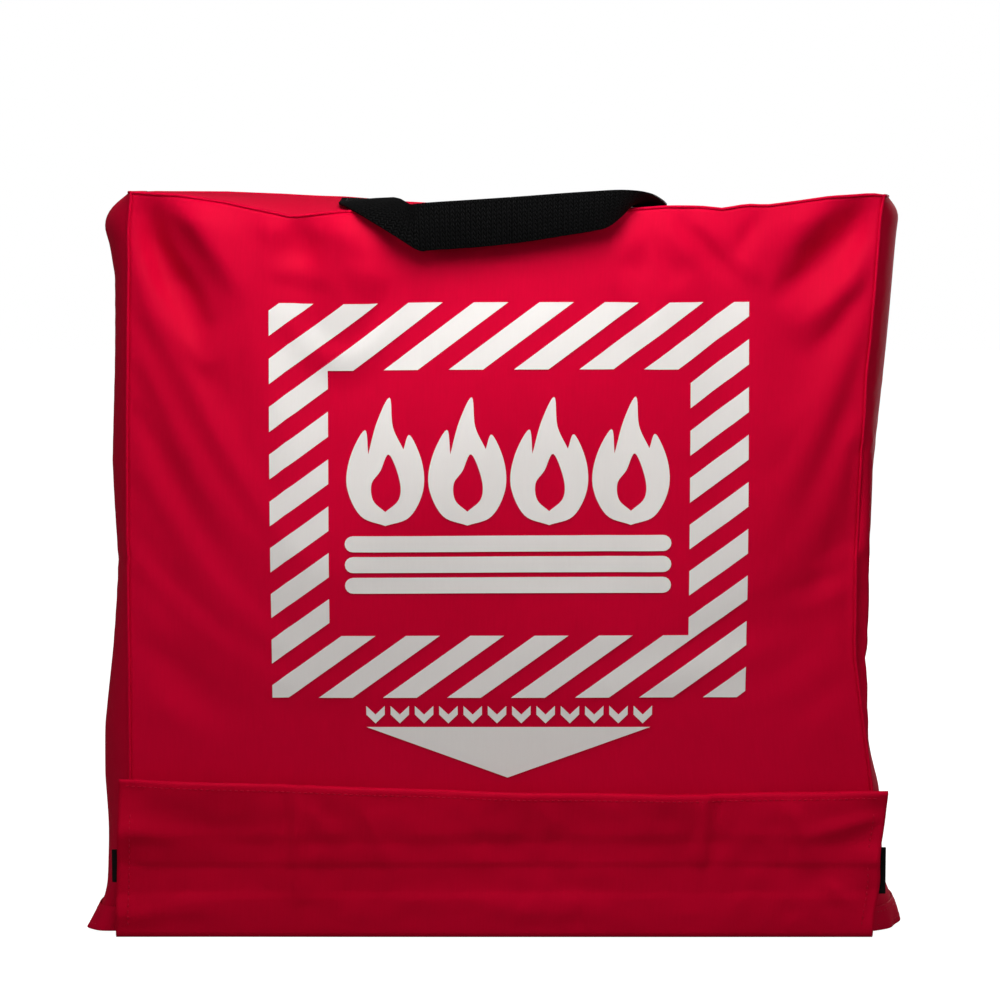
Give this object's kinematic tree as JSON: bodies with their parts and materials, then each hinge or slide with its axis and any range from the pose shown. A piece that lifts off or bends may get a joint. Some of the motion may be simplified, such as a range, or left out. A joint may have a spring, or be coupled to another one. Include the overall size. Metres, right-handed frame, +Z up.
{
  "type": "fire blanket in storage bag",
  "caption": "Folded wool fire blanket in a red cloth bag with a carrying loop on top and a bottom flap that pulls down to let the blanket drop out.",
  "frame": {"origin": "Middle of the bottom of the whole object's box, on the surface that the bag stands on.", "axes": "+Z up; the printed front with the flap faces -Y, so the back panel faces +Y; +X is to the right as the front is seen."},
  "size_m": [0.4264, 0.0898, 0.3982],
  "materials": {
    "red_cloth": "satin",
    "black_webbing": "matte",
    "black_thread": "satin",
    "red_thread": "satin",
    "loop_tape": "matte",
    "hook_tape": "matte",
    "white_print": "matte",
    "grey_wool": "matte"
  },
  "bodies": {
    "blanket": {"blanket": "grey_wool"},
    "bag": {"front_panel": "red_cloth", "back_panel": "red_cloth", "top_gusset": "red_cloth", "left_gusset": "red_cloth", "right_gusset": "red_cloth", "front_hem": "red_cloth", "left_gusset_hem": "red_cloth", "right_gusset_hem": "red_cloth", "front_binding": "red_cloth", "back_binding": "red_cloth", "loop_tape": "loop_tape", "handle_end_left": "black_webbing", "handle_end_right": "black_webbing", "handle_stitching_left": "black_thread", "handle_stitching_right": "black_thread"},
    "flap_bottom": {"flap_bottom": "red_cloth", "flap_bottom_hem_left": "red_cloth", "flap_bottom_hem_right": "red_cloth"},
    "flap_front": {"flap_front": "red_cloth", "flap_hem": "red_cloth", "hook_tape": "hook_tape"},
    "handle": {"handle_strap": "black_webbing"}
  },
  "joints": [
    {"name": "bag_lift", "type": "slide", "parent": "blanket", "child": "bag", "axis": [0, 0, 1], "range_m": [0, 0.38], "deforming": ["flap_bottom", "flap_bottom_hem_left", "flap_bottom_hem_right", "flap_front", "flap_hem", "hook_tape"]},
    {"name": "flap_bottom_fold", "type": "hinge", "parent": "bag", "child": "flap_bottom", "pos_m": [0, 0.0443, 0.0006], "axis": [1, 0, 0], "range_deg": [0, 90]},
    {"name": "flap_front_fold", "type": "hinge", "parent": "flap_bottom", "child": "flap_front", "pos_m": [0, -0.0365, 0.0006], "axis": [1, 0, 0], "range_deg": [0, 90]},
    {"name": "handle_swing", "type": "hinge", "parent": "bag", "child": "handle", "pos_m": [0, 0.0069, 0.385], "axis": [-1, 0, 0], "range_deg": [0, 170], "deforming": ["handle_strap"]}
  ],
  "couplings": [
    {"joint": "flap_bottom_fold", "follows": "bag_lift", "rad_per_m": 4.13},
    {"joint": "flap_front_fold", "follows": "bag_lift", "rad_per_m": 4.13}
  ]
}
